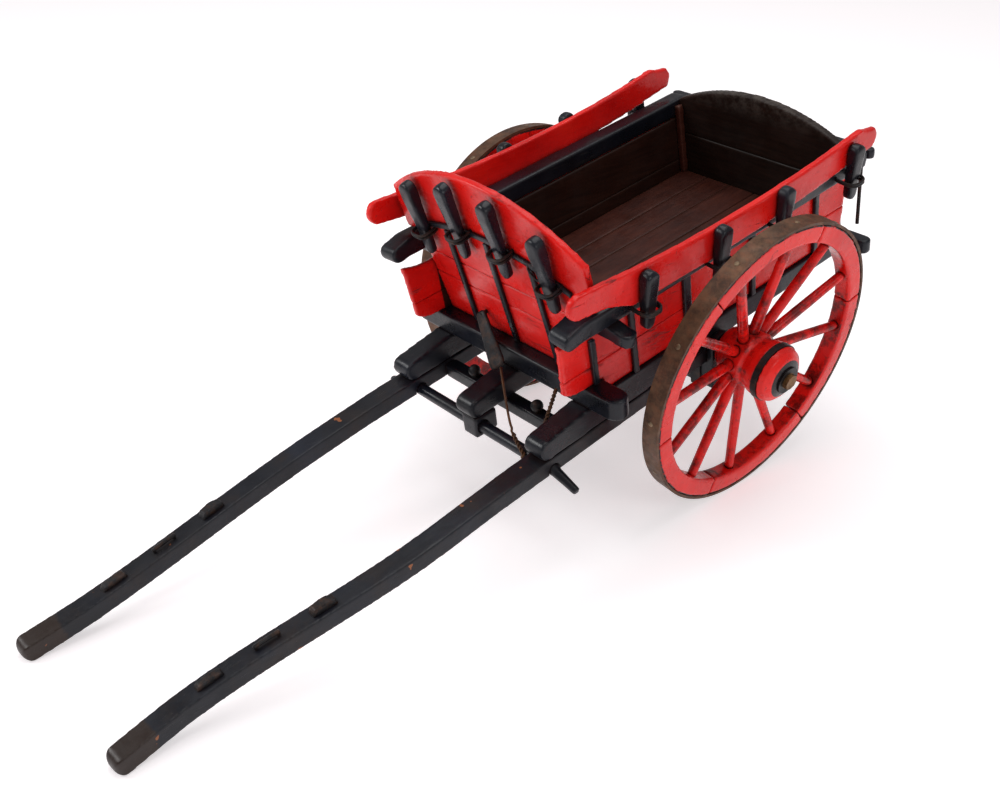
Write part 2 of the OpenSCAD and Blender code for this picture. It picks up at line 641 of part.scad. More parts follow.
module front_cross_rail() color(navy) cart() {
  cross_bar_space(0);
  for (s = [-1, 1]) on_side(s) translate([105, cross_y + cross_w / 2, cross_z + 0.4]) rotate([0, 9, 0]) {
    block([0, -cross_w / 2, 0], [12, cross_w / 2, cross_h - 1]);
    translate([12, 0, 0]) cylinder(h = cross_h - 1, r = cross_w / 2);
  }
}

// Rear of the tub
rear_rail_w = 9;
rear_rail_z = panel_z_at(side_h, 0) + 5;
module rear_top_rail() color(navy) cart() {
  round_bar(111, [rail_end_y, rear_rail_z], [rail_end_y + rear_rail_w, rear_rail_z + rear_rail_w]);
}
rod_x = 100;
module corner_rods() color(iron) cart() {
  for (x = [-rod_x, rod_x]) rod([x, rail_end_y + 4, sill_top], [x, rail_end_y + 4, rear_rail_z], rod_r);
}
module corner_posts() color(dark_wood) for (s = [-1, 1]) side_frame(s) {
  block([-side_t - 6, floor_rear - 6, up_side(floor_top) - 0.2], [-side_t, floor_rear, side_h + rail_h - 4]);
}
hinge_x = shaft_root_x - shaft_w_root / 2 - moving_gap;
hinge_t = 2.4;
module tip_hinges() color(iron) cart() for (s = [-1, 1]) on_side(s) {
  difference() {
    across(hinge_x - hinge_t, hinge_x) {
      translate([0, pivot_z]) circle(r = pin_r + 3.5);
      translate([-pin_r - 3.5, pivot_z]) square([2 * pin_r + 7, sill_z - 2 - pivot_z]);
    }
    rotate([0, 90, 0]) translate([-pivot_z, 0, hinge_x - 10]) cylinder(h = 20, r = pin_r + running_fit);
  }
  block([hinge_x - 0.5, -pin_r - 3.5, shaft_top_z + 1.3],
    [shaft_root_x - bearer_w / 2, pin_r + 3.5, sill_z - 2]);
}
// A tapered bar hangs over the front sill, where the lock wire hooks on
module latch_bar() color(iron) cart() {
  top = [-34, front_y - 8.5, 54];
  foot = [4, front_sill_y - 14, 26];
  d = foot - top;
  translate(top) rotate([0, acos(d[2] / norm(d)), atan2(d[1], d[0])])
    forward(-2, 2) polygon([[-4.5, 0], [4.5, 0], [8.5, norm(d)], [-8.5, norm(d)]]);
  rod(top + [1.5, 0, -1], top + [1.5, 8, -1], 1.8);
}
front_tie_rise = 16;
// A wire loop round a stake: legs along X from the wood, and a bar across
module tie(span, reach) {
  for (s = [-1, 1]) rod([-2, s * span / 2, 0], [reach, s * span / 2, 0], tie_r);
  rod([reach, -span / 2 - 1.5 * tie_r, 0], [reach, span / 2 + 1.5 * tie_r, 0], 1.25 * tie_r);
}
module stake_ties() color(iron) {
  span = stake_w + 2 * tie_r + 1;
  for (s = [-1, 1]) side_frame(s) for (y = side_stakes_y) {
    translate([rail_out, y, up_side(topboard_z) - 3])
      tie(span, stake_foot_w - rail_out + stake_t + tie_r + 0.2);
  }
  front_frame() for (x = front_stakes_x) {
    translate([x, 0, front_stake_foot(x) + front_tie_rise]) rotate([0, 0, -90])
      tie(span, front_rail_t + joinery_gap + stake_t + tie_r + 0.2);
  }
}

// Tailboard, which lifts out between the side planks
tail_joint = 80;
function tail_half(z) = inner_x(z) - 2 * moving_gap;
module tail_shape(z0, z1) {
  polygon([[-tail_half(z0), z0], [tail_half(z0), z0], [tail_half(z1), z1], [-tail_half(z1), z1]]);
}
module tail_plank_low() color(dark_wood) cart() forward(-tail_y - tail_t, -tail_y) {
  tail_shape(sill_top + moving_gap, tail_joint);
}
module tail_plank_high() color(dark_wood) cart() forward(-tail_y - tail_t, -tail_y) intersection() {
  tail_shape(tail_joint, sill_top + tail_h + 1);
  translate([0, sill_top + tail_h - tail_arch_r]) circle(r = tail_arch_r, $fn = 180);
}
module tail_battens() color(navy) cart() for (x = [-45, 45]) {
  block([x - 6, tail_y + tail_t, sill_top + 4], [x + 6, tail_y + tail_t + 4, sill_top + tail_h - 16]);
}

shaft(-1);  // shaft_left
shaft(1);  // shaft_right
crossbar();
tongue_block();
rear_crosspiece();
crosspiece_bolts();
axle_bed();
axle_arms();
axle_straps();
tip_pins();
shaft_staples();
hub_nut(-1);  // hub_nut_left
hub_nut(1);  // hub_nut_right
lock_wire();
hub(-1);  // hub_left
hub_band(-1);  // hub_band_left
spokes(-1);  // spokes_left
felloes(-1);  // felloes_left
tyre(-1);  // tyre_left
hub(1);  // hub_right
hub_band(1);  // hub_band_right
spokes(1);  // spokes_right
felloes(1);  // felloes_right
tyre(1);  // tyre_right
bearer(-shaft_root_x);  // bearer_left
bearer(0);  // bearer_mid
bearer(shaft_root_x);  // bearer_right
front_sill();
mid_sill();
rear_sill();
floor_planks();
side_planks(-1, 0, plank_joint);  // side_plank_low_left
side_planks(-1, plank_joint, side_h);  // side_plank_top_left
side_rail(-1);  // side_rail_left
side_strips(-1);  // side_strips_left
side_stakes(-1);  // side_stakes_left
sideboard(-1);  // sideboard_left
side_planks(1, 0, plank_joint);  // side_plank_low_right
side_planks(1, plank_joint, side_h);  // side_plank_top_right
side_rail(1);  // side_rail_right
side_strips(1);  // side_strips_right
side_stakes(1);  // side_stakes_right
sideboard(1);  // sideboard_right
front_plank_low();
front_plank_top();
headboard();
front_rail();
front_strips();
front_stakes();
front_cross_rail();
rear_top_rail();
corner_rods();
corner_posts();
tip_hinges();
latch_bar();
stake_ties();
tail_plank_low();
tail_plank_high();
tail_battens();
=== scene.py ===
"""Looks of the two-wheeled tipping cart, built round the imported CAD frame. Metres throughout."""
import json
import math

import bmesh
import bpy
import numpy
from mathutils import Matrix, Vector


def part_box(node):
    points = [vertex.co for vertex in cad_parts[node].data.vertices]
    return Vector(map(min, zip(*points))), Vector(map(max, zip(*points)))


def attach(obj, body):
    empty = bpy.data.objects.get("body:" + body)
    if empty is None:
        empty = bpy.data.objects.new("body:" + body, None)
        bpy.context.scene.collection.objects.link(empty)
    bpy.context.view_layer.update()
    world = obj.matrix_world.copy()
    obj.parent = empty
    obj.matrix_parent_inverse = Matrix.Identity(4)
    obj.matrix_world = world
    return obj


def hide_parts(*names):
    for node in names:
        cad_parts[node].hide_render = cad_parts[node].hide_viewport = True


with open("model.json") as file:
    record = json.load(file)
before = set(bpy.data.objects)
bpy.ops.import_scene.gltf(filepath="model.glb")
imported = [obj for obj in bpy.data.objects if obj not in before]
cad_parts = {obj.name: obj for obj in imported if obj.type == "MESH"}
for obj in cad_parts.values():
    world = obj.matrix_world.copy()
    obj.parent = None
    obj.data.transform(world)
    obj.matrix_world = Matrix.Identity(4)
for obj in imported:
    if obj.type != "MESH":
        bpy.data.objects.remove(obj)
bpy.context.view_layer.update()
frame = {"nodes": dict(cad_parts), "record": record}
MM = 0.001

JOINTS = {joint["name"]: joint for joint in frame["record"]["behaviour"]["joints"]}
BODIES = frame["record"]["behaviour"]["bodies"]
BODY_OF = {node: body for body, nodes in BODIES.items() for node in nodes}
AXLE = Vector((0, *JOINTS["wheel_right_spin"]["pos_m"][1:]))
LIFT = Vector(JOINTS["tail_lift"]["axis"])
PITCH = math.atan2(-LIFT.y, LIFT.z)
CART = Matrix.Translation(AXLE) @ Matrix.Rotation(PITCH, 4, "X")


# ---------------------------------------------------------------- node-tree helpers
class Tree:
    """A material's node tree, with short calls for the nodes that the finishes share."""

    def __init__(self, name):
        self.material = bpy.data.materials.new(name)
        self.material.use_nodes = True
        self.nodes = self.material.node_tree.nodes
        self.links = self.material.node_tree.links
        self.shader = self.nodes["Principled BSDF"]
        self.place = self.nodes.new("ShaderNodeTexCoord").outputs["Object"]

    def feed(self, socket, value):
        if isinstance(value, bpy.types.NodeSocket):
            self.links.new(value, socket)
        elif value is not None:
            socket.default_value = value

    def mapped(self, scale=(1, 1, 1), turn=(0, 0, 0)):
        node = self.nodes.new("ShaderNodeMapping")
        self.links.new(self.place, node.inputs["Vector"])
        node.inputs["Scale"].default_value = scale
        node.inputs["Rotation"].default_value = turn
        return node.outputs["Vector"]

    def noise(self, scale, detail=5, rough=0.6, warp=0.0, vector=None):
        node = self.nodes.new("ShaderNodeTexNoise")
        self.links.new(vector or self.place, node.inputs["Vector"])
        node.inputs["Scale"].default_value = scale
        node.inputs["Detail"].default_value = detail
        node.inputs["Roughness"].default_value = rough
        node.inputs["Distortion"].default_value = warp
        return node.outputs["Fac"]

    def ramp(self, fac, *stops):
        node = self.nodes.new("ShaderNodeValToRGB")
        self.links.new(fac, node.inputs["Fac"])
        line = node.color_ramp.elements
        while len(line) < len(stops):
            line.new(0.5)
        for element, (at, value) in zip(line, stops):
            element.position = at
            element.color = (*value, 1) if isinstance(value, tuple) else (value, value, value, 1)
        return node.outputs["Color"]

    def mix(self, fac, a, b, how="MIX"):
        node = self.nodes.new("ShaderNodeMix")
        node.data_type = "RGBA"
        node.blend_type = how
        self.feed(node.inputs["Factor"], fac)
        colours = [s for s in node.inputs if s.type == "RGBA"]
        for socket, value in zip(colours, (a, b)):
            self.feed(socket, (*value, 1) if isinstance(value, tuple) else value)
        return [s for s in node.outputs if s.type == "RGBA"][0]

    def math(self, how, *values):
        node = self.nodes.new("ShaderNodeMath")
        node.operation = how
        for socket, value in zip(node.inputs, values):
            self.feed(socket, value)
        return node.outputs["Value"]

    def vector(self, how, *values):
        node = self.nodes.new("ShaderNodeVectorMath")
        node.operation = how
        for socket, value in zip(node.inputs, values):
            self.feed(socket, value)
        return node.outputs["Value" if how == "DOT_PRODUCT" else "Vector"]

    def part(self, letter):
        """One coordinate of the shaded point."""
        node = self.nodes.new("ShaderNodeSeparateXYZ")
        self.links.new(self.place, node.inputs["Vector"])
        return node.outputs[letter]

    def pointiness(self):
        return self.nodes.new("ShaderNodeNewGeometry").outputs["Pointiness"]

    def crevice(self, distance):
        node = self.nodes.new("ShaderNodeAmbientOcclusion")
        node.samples = 4
        node.inputs["Distance"].default_value = distance
        return node.outputs["AO"]

    def bump(self, height, strength, depth, normal=None):
        node = self.nodes.new("ShaderNodeBump")
        node.inputs["Strength"].default_value = strength
        node.inputs["Distance"].default_value = depth
        self.links.new(height, node.inputs["Height"])
        if normal is not None:
            self.links.new(normal, node.inputs["Normal"])
        return node.outputs["Normal"]

    def finish(self, colour, rough, normal=None, metal=0.0, gleam=0.5):
        self.feed(self.shader.inputs["Base Color"], colour)
        self.feed(self.shader.inputs["Roughness"], rough)
        self.feed(self.shader.inputs["Normal"], normal)
        self.shader.inputs["Metallic"].default_value = metal
        self.shader.inputs["Specular IOR Level"].default_value = gleam
        return self.material


GRAIN_TURN = {"x": (0, 0, 0), "y": (-PITCH, 0, 0), "z": (-PITCH, 0, 0), "wheel": (0, 0, 0)}
GRAIN_SCALE = {"x": (0.08, 1, 1), "y": (1, 0.08, 1), "z": (1, 1, 0.08), "wheel": (1, 0.45, 0.45)}


def painted(name, paint, deep, light, grain="y", gloss=0.26, cracks=0.5, shade_and_grime=0.75,
            wear=(0.2, 0.09, 0.05), extra=None):
    """Old gloss paint on wood: brush marks, grain cracks, painted shade with grime in the corners, worn
    edges.
    """
    t = Tree(name)
    along = t.mapped(GRAIN_SCALE[grain], GRAIN_TURN[grain])
    tone = t.ramp(t.noise(14, 4), (0.3, deep), (0.52, paint), (0.75, light))
    streak = t.noise(420, 6, 0.65, 0.2, along)
    tone = t.mix(0.3, tone, t.ramp(streak, (0.3, deep), (0.6, paint)))
    crack_line = t.ramp(t.noise(150, 8, 0.7, 0.4, along), (0.36, 1.0), (0.405, 0.0))
    crack_area = t.ramp(t.noise(22, 3), (0.48, 0.0), (0.6, 1.0))
    crack = t.math("MULTIPLY", crack_line, crack_area)
    speck = t.ramp(t.noise(520, 3, 0.5), (0.66, 0.0), (0.7, 1.0))
    speck = t.math("MULTIPLY", speck, t.ramp(t.noise(30, 2), (0.45, 0.0), (0.65, 1.0)))
    dirt = t.math("MULTIPLY", t.math("MAXIMUM", crack, speck), cracks)
    colour = t.mix(dirt, tone, tuple(0.12 * c + 0.005 for c in deep))
    # Painted shade with grime: the corners that the occlusion node finds turn near black in noisy patches
    corner = t.ramp(t.crevice(0.006), (0.35, 1.0), (0.85, 0.0))
    crevice_shade_and_grime = t.math("MULTIPLY", corner, t.ramp(t.noise(60, 5), (0.35, 0.3), (0.6, 1.0)))
    colour = t.mix(t.math("MULTIPLY", crevice_shade_and_grime, shade_and_grime), colour, (0.018, 0.009, 0.008))
    edge = t.ramp(t.pointiness(), (0.54, 0.0), (0.61, 1.0))
    edge = t.math("MULTIPLY", edge, t.ramp(t.noise(75, 6, 0.7), (0.52, 0.0), (0.6, 1.0)))
    colour = t.mix(t.math("MULTIPLY", edge, 0.5), colour, wear)
    if extra:
        colour = extra(t, colour)
    uneven = t.math("ADD", t.noise(40, 4), t.math("MULTIPLY", dirt, 0.5))
    rough = t.ramp(uneven, (0.35, gloss - 0.06), (0.9, gloss + 0.28))
    normal = t.bump(t.noise(90, 3, 0.5), 0.35, 0.0012)
    normal = t.bump(streak, 0.16, 0.0006, normal)
    normal = t.bump(t.math("SUBTRACT", 1.0, dirt), 0.5, 0.0005, normal)
    return t.finish(colour, rough, normal, gleam=0.3)


def bare_wood(name, deep, light, grain="y", edge_wear=0.4, extra=None):
    """Dark varnished boards with long grain and scuffs."""
    t = Tree(name)
    along = t.mapped(GRAIN_SCALE[grain], GRAIN_TURN[grain])
    fibre = t.noise(230, 8, 0.7, 0.6, along)
    colour = t.mix(t.ramp(fibre, (0.35, 0.0), (0.7, 1.0)), deep, light)
    colour = t.mix(t.ramp(t.noise(18, 4), (0.4, 0.0), (0.75, 0.55)), colour, tuple(0.4 * c for c in deep))
    scuff = t.ramp(t.noise(65, 7, 0.75), (0.6, 0.0), (0.72, 0.3))
    colour = t.mix(scuff, colour, tuple(min(1, 1.8 * c + 0.01) for c in light))
    edge = t.ramp(t.pointiness(), (0.53, 0.0), (0.60, edge_wear))
    colour = t.mix(t.math("MULTIPLY", edge, t.noise(90, 5)), colour, (0.15, 0.085, 0.06))
    if extra:
        colour = extra(t, colour)
    rough = t.ramp(t.noise(50, 4), (0.3, 0.35), (0.8, 0.65))
    normal = t.bump(fibre, 0.35, 0.0006)
    return t.finish(colour, rough, t.bump(t.noise(70, 3), 0.3, 0.001, normal), gleam=0.22)


def iron(name, deep, light, gloss=0.45, metal=0.35, rust=(0.16, 0.06, 0.02), rusty=0.5, extra=None):
    """Blackened or rusting iron, pitted and uneven."""
    t = Tree(name)
    colour = t.mix(t.ramp(t.noise(70, 7, 0.7), (0.38, 0.0), (0.62, 1.0)), deep, light)
    bloom = t.ramp(t.noise(120, 8, 0.75), (0.48, 0.0), (0.66, 1.0))
    colour = t.mix(t.math("MULTIPLY", bloom, rusty), colour, rust)
    if extra:
        colour = extra(t, colour)
    rough = t.ramp(t.noise(90, 5), (0.3, gloss - 0.12), (0.75, gloss + 0.25))
    normal = t.bump(t.noise(260, 6, 0.7), 0.4, 0.0006)
    return t.finish(colour, rough, t.bump(t.noise(60, 3), 0.4, 0.0012, normal), metal=metal, gleam=0.3)


# ---------------------------------------------------------------- marks that depend on the place
def wheel_reach(t, side):
    """Distances of a shaded point out from a wheel's axle line and along it."""
    joint = JOINTS[f"wheel_{side}_spin"]
    away = t.vector("SUBTRACT", t.place, joint["pos_m"])
    along = t.vector("DOT_PRODUCT", away, joint["axis"])
    square = t.math("SUBTRACT", t.vector("DOT_PRODUCT", away, away), t.math("MULTIPLY", along, along))
    return t.math("SQRT", square), along


def rim_line(side):
    """A broken black line beside the tyre, painted shade in patches inward of the pivot, and a black hub
    end.
    """
    def mark(t, colour):
        out, along = wheel_reach(t, side)
        near = t.math("GREATER_THAN", out, FELLOE_OUT - RIM_LINE)
        broken = t.ramp(t.noise(110, 4, 0.7), (0.4, 0.15), (0.5, 1.0))
        colour = t.mix(t.math("MULTIPLY", near, broken), colour, (0.010, 0.006, 0.006))
        inner = t.math("LESS_THAN", out, HUB_END_R)
        hub_end = t.math("MULTIPLY", inner, t.math("GREATER_THAN", along, HUB_END_AT))
        # Painted shade: in noisy patches the wheel darkens to deep red inward of its outer face along the
        # axle
        patches = t.ramp(t.noise(48, 7, 0.75), (0.47, 0.0), (0.60, 0.85))
        inner_shade = t.math("MULTIPLY", patches, t.math("LESS_THAN", along, INNER_SHADE_AT))
        colour = t.mix(inner_shade, colour, (0.060, 0.006, 0.005))
        return t.mix(hub_end, colour, (0.012, 0.009, 0.010))
    return mark


def nut_tip(side):
    """The washer under a hub's nut is black: only the nut is brass."""
    def mark(t, colour):
        out = wheel_reach(t, side)[0]
        return t.mix(t.math("GREATER_THAN", out, NUT_R), colour, (0.010, 0.009, 0.010))
    return mark


def worn_tips(t, colour):
    """The shafts' ends are rubbed down to brown wood, with a few bare chips along their length."""
    near = t.math("MULTIPLY_ADD", t.part("Y"), 1 / TIP_FADE, -(SHAFT_FRONT + TIP_WORN) / TIP_FADE)
    ragged = t.math("ADD", near, t.math("MULTIPLY", t.noise(60, 4), 0.9))
    colour = t.mix(t.ramp(ragged, (0.4, 1.0), (0.6, 0.0)), colour, (0.022, 0.0125, 0.009))
    haze = t.ramp(t.noise(24, 5, 0.7), (0.5, 0.0), (0.66, 0.7))
    colour = t.mix(haze, colour, (0.016, 0.010, 0.009))
    chip = t.ramp(t.noise(85, 2, 0.4), (0.735, 0.0), (0.75, 0.9))
    return t.mix(chip, colour, (0.30, 0.10, 0.035))


def worn_crown(t, colour):
    """The tailboard's top edge is rubbed grey."""
    height = t.math("MULTIPLY_ADD", t.part("Z"), 1 / CROWN_FADE, -(TAIL_TOP - CROWN_FADE) / CROWN_FADE)
    top = t.ramp(height, (0.2, 0.0), (1.0, 0.75))
    streaks = t.ramp(t.noise(130, 6, 0.75), (0.42, 0.0), (0.6, 1.0))
    return t.mix(t.math("MULTIPLY", top, streaks), colour, (0.075, 0.062, 0.052))


def half_length(node):
    """Half of a node's length in the frame's Y, which is a wheel part's radius."""
    low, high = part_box(node)
    return (high[1] - low[1]) / 2


SHAFT_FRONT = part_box("shaft_right")[0][1]
TIP_WORN, TIP_FADE = 30 * MM, 12 * MM
TAIL_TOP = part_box("tail_plank_high")[1][2]
CROWN_FADE = 30 * MM
TYRE_OUT = half_length("tyre_right")
FELLOE_OUT = half_length("felloes_right")
# A wheel's marks: the line's width, the black hub end, where the painted shade of the wheel's inner side
# starts along the axle, and the nut
RIM_LINE = 1.5 * MM
HUB_END_R, HUB_END_AT = 16.5 * MM, 19.5 * MM
INNER_SHADE_AT = -1.2 * MM
NUT_R = 7 * MM

RED, RED_DEEP, RED_LIGHT = (0.74, 0.0085, 0.006), (0.50, 0.0045, 0.004), (0.86, 0.018, 0.010)
NAVY, NAVY_DEEP, NAVY_LIGHT = (0.0060, 0.0074, 0.0125), (0.0028, 0.0028, 0.0038), (0.0125, 0.0165, 0.0300)
REDS = {"paint": RED, "deep": RED_DEEP, "light": RED_LIGHT}
NAVYS = {"paint": NAVY, "deep": NAVY_DEEP, "light": NAVY_LIGHT, "wear": (0.055, 0.035, 0.028)}
INNER_WOOD = {"deep": (0.012, 0.0040, 0.0025), "light": (0.030, 0.0098, 0.0058)}
TAIL_WOOD = {"deep": (0.0085, 0.0042, 0.0030), "light": (0.022, 0.0098, 0.0065)}
# The wheels take stronger painted shade with grime in their corners
WHEEL_RED = {**REDS, "grain": "wheel", "cracks": 0.8, "shade_and_grime": 0.95}
BRASS = {"deep": (0.09, 0.042, 0.016), "light": (0.24, 0.13, 0.05), "gloss": 0.4, "metal": 0.7}
FINISH = {
    "panel_red": painted("panel_red", **REDS, grain="y", cracks=0.8),
    "front_red": painted("front_red", **REDS, grain="x", cracks=0.85),
    "wheel_red_left": painted("wheel_red_left", **WHEEL_RED, extra=rim_line("left")),
    "wheel_red_right": painted("wheel_red_right", **WHEEL_RED, extra=rim_line("right")),
    "shaft_navy": painted("shaft_navy", **NAVYS, grain="y", gloss=0.34, extra=worn_tips),
    "navy_long": painted("navy_long", **NAVYS, grain="y", gloss=0.3),
    "navy_tall": painted("navy_tall", **NAVYS, grain="z", gloss=0.26, cracks=0.4),
    "navy_cross": painted("navy_cross", **NAVYS, grain="x", gloss=0.3),
    "floor_wood": bare_wood("floor_wood", (0.036, 0.0085, 0.0055), (0.080, 0.0215, 0.0130), edge_wear=0.8),
    "inner_wood": bare_wood("inner_wood", **INNER_WOOD),
    "inner_cross": bare_wood("inner_cross", **INNER_WOOD, grain="x"),
    "tail_wood": bare_wood("tail_wood", **TAIL_WOOD, grain="x", edge_wear=0.0, extra=worn_crown),
    "black_iron": iron("black_iron", (0.006, 0.006, 0.007), (0.018, 0.018, 0.020), rusty=0.25),
    "tyre_iron": iron("tyre_iron", (0.046, 0.021, 0.011), (0.125, 0.064, 0.034), gloss=0.5, metal=0.3,
                      rust=(0.19, 0.066, 0.030), rusty=0.55),
    "nail_iron": iron("nail_iron", (0.10, 0.065, 0.04), (0.26, 0.19, 0.12), gloss=0.4, metal=0.6),
    "rusty_wire": iron("rusty_wire", (0.034, 0.015, 0.008), (0.110, 0.052, 0.024), gloss=0.5, metal=0.4),
    "hub_brass_left": iron("hub_brass_left", **BRASS, extra=nut_tip("left")),
    "hub_brass_right": iron("hub_brass_right", **BRASS, extra=nut_tip("right")),
}


# ---------------------------------------------------------------- carved pieces
def clouds(name, scale):
    texture = bpy.data.textures.new(name, "CLOUDS")
    texture.noise_scale = scale
    texture.noise_depth = 2
    return texture


WOBBLE = clouds("wobble", 22 * MM)
WELD = 1e-6
INWARD_LEAN = 0.15
WIRE_SIDES = 10
FRONT_PLANK = frame["nodes"]["front_plank_low"].data
TUB_FRONT = min((CART.inverted() @ vert.co).y for vert in FRONT_PLANK.vertices)


def modify(obj, kind, **settings):
    """Adds a modifier, sets it and applies it."""
    modifier = obj.modifiers.new(kind, kind)
    for key, value in settings.items():
        setattr(modifier, key, value)
    with bpy.context.temp_override(object=obj, active_object=obj, selected_objects=[obj]):
        bpy.ops.object.modifier_apply(modifier=modifier.name)


def loose_parts(mesh):
    """Splits a mesh into one mesh for each separate solid."""
    whole = bmesh.new()
    whole.from_mesh(mesh)
    bmesh.ops.remove_doubles(whole, verts=whole.verts, dist=WELD)
    seen, groups = set(), []
    for start in whole.verts:
        if start in seen:
            continue
        stack, group = [start], []
        seen.add(start)
        while stack:
            vert = stack.pop()
            group.append(vert)
            for edge in vert.link_edges:
                other = edge.other_vert(vert)
                if other not in seen:
                    seen.add(other)
                    stack.append(other)
        groups.append(group)
    meshes = []
    for group in groups:
        number = {vert: i for i, vert in enumerate(group)}
        faces = {face for vert in group for face in vert.link_faces}
        faces = sorted(faces, key=lambda face: face.index)
        part = bpy.data.meshes.new("part")
        corners = [[number[vert] for vert in face.verts] for face in faces]
        part.from_pydata([vert.co[:] for vert in group], [], corners)
        meshes.append(part)
    whole.free()
    return meshes


def add_object(name, mesh, finishes, body):
    """Links a new piece, smooth shaded, that rides on a body."""
    obj = bpy.data.objects.new(name, mesh)
    bpy.context.scene.collection.objects.link(obj)
    for finish in finishes:
        mesh.materials.append(FINISH[finish])
    mesh.shade_smooth()
    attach(obj, body)
    return obj


def join(meshes, name):
    """Joins meshes into one."""
    whole = bmesh.new()
    for mesh in meshes:
        whole.from_mesh(mesh)
    out = bpy.data.meshes.new(name)
    whole.to_mesh(out)
    whole.free()
    return out


def carve(node, finish, voxel=1.3, soften=3, wobble=0.3, inner=None):
    """Makes the hand-cut piece that stands for a CAD node: rounded arrises and uneven faces.

    voxel and wobble are in millimetres. inner is a finish and a direction in the cart's own frame: the faces
    that look that way, behind the tub's front, take that finish.
    """
    parts = []
    for part in loose_parts(frame["nodes"][node].data):
        part.transform(CART.inverted())
        solid = bpy.data.objects.new("solid", part)
        bpy.context.scene.collection.objects.link(solid)
        modify(solid, "REMESH", mode="VOXEL", voxel_size=voxel * MM)
        modify(solid, "SMOOTH", factor=0.5, iterations=soften)
        if wobble:
            modify(solid, "DISPLACE", texture=WOBBLE, texture_coords="LOCAL", strength=wobble * MM,
                   mid_level=0.5)
        if inner:
            for face in solid.data.polygons:
                inward = face.normal.dot(Vector(inner[1])) > INWARD_LEAN
                face.material_index = int(inward and face.center.y > TUB_FRONT)
        solid.data.transform(CART)
        parts.append(solid.data)
        bpy.data.objects.remove(solid)
    finishes = [finish, inner[0]] if inner else [finish]
    name = "carved_" + node
    piece = add_object(name, join(parts, name), finishes, BODY_OF[node])
    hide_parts(node)


def skin(rows, sides, closed=False):
    """The faces over rows of vertices with so many sides each, capped at both ends unless closed."""
    faces = []
    for row in range(rows if closed else rows - 1):
        here, there = row * sides, (row + 1) % rows * sides
        for k in range(sides):
            m = (k + 1) % sides
            faces.append((here + k, here + m, there + m, there + k))
    if not closed:
        faces.append(tuple(reversed(range(sides))))
        faces.append(tuple(range((rows - 1) * sides, rows * sides)))
    return faces


def rounded(value, power):
    """A sine or cosine raised to a power with its sign kept, which squares a circle's shoulders."""
    return math.copysign(abs(value) ** power, value)


def tube(points, radius, closed=False):
    """Sweeps a round wire along points, and returns its vertices and faces."""
    count = len(points)
    verts = []
    side = Vector((0, 0, 1))
    for i, point in enumerate(points):
        ahead = points[(i + 1) % count] if closed or i < count - 1 else point
        behind = points[i - 1] if closed or i else point
        along = (ahead - behind).normalized()
        side = side - along * side.dot(along)
        if side.length < WELD:
            side = along.orthogonal()
        side.normalize()
        up = along.cross(side)
        for k in range(WIRE_SIDES):
            turn = math.tau * k / WIRE_SIDES
            verts.append(point + radius * (math.cos(turn) * side + math.sin(turn) * up))
    return verts, skin(count, WIRE_SIDES, closed)


def mesh_of(name, shapes):
    """One mesh from several lists of vertices and faces."""
    verts, faces = [], []
    for shape_verts, shape_faces in shapes:
        start = len(verts)
        verts += [tuple(v) for v in shape_verts]
        faces += [tuple(start + i for i in face) for face in shape_faces]
    mesh = bpy.data.meshes.new(name)
    mesh.from_pydata(verts, [], faces)
    return mesh


FINE_VOXEL = 0.8
CARVED = {
    "shaft_navy": (["shaft_left", "shaft_right"], {"voxel": 0.6, "soften": 20, "wobble": 0.0}),
    "navy_long": (["bearer_left", "bearer_mid", "bearer_right", "side_rail_left", "side_rail_right",
                   "tongue_block"], {"soften": 12}),
    "navy_cross": (["crossbar", "rear_crosspiece", "axle_bed", "front_sill", "mid_sill", "rear_sill",
                    "front_cross_rail", "rear_top_rail"], {"soften": 10}),
    "panel_red": (["sideboard_left", "sideboard_right"], {"soften": 4}),
    "front_red": (["headboard"], {"soften": 4}),
    "wheel_red_left": (["felloes_left"], {}),
    "wheel_red_right": (["felloes_right"], {}),
    "floor_wood": (["floor_planks", "corner_posts"], {"soften": 2}),
    "tail_wood": (["tail_plank_low", "tail_plank_high"], {"soften": 1, "wobble": 0.1}),
}
CARVED_FINE = {
    "wheel_red_left": (["hub_left", "spokes_left"], {"soften": 2}),
    "wheel_red_right": (["hub_right", "spokes_right"], {"soften": 2}),
    "navy_tall": (["side_stakes_left", "side_stakes_right", "front_stakes"], {"soften": 40}),
    "navy_cross": (["front_rail", "side_strips_left", "side_strips_right", "front_strips", "tail_battens"],
                   {"soften": 3}),
    "black_iron": (["shaft_staples"], {"soften": 4}),
}
for finish, (nodes, settings) in CARVED.items():
    for node in nodes:
        carve(node, finish, **settings)
for finish, (nodes, settings) in CARVED_FINE.items():
    for node in nodes:
        carve(node, finish, voxel=FINE_VOXEL, **settings)
for side, inward in (("left", 1), ("right", -1)):
    for node in ("side_plank_low_", "side_plank_top_"):
        carve(node + side, "panel_red", soften=2, inner=("inner_wood", (inward, 0, 0)))
for node in ("front_plank_low", "front_plank_top"):
    carve(node, "front_red", soften=2, inner=("inner_cross", (0, 1, 0)))


# ---------------------------------------------------------------- wire and nails
# Wire rings round the stakes: ties nearer the middle than RING_FRONT are the front's
RING_FRONT = 85 * MM
RING_TRIM = 0.9 * MM
RING_LIFT = 7 * MM
RING_WIRE = 1.15 * MM
RING_PITCH, RING_SAG = 0.9 * RING_WIRE, 0.5 * MM
RING_SQUARE = 0.6
RING_STEPS = 36
# An open ring that hangs on one front stake: its height over the stake's foot, radius, reach and lean
LOOSE_UP, LOOSE_R, LOOSE_OUT, LOOSE_LEAN = 34 * MM, 8.5 * MM, 1.5 * MM, 0.35
LOOSE_WIRE, LOOSE_STEPS = 0.85 * MM, 40
LOOSE_FROM, LOOSE_SWEEP = math.radians(25), math.radians(318)
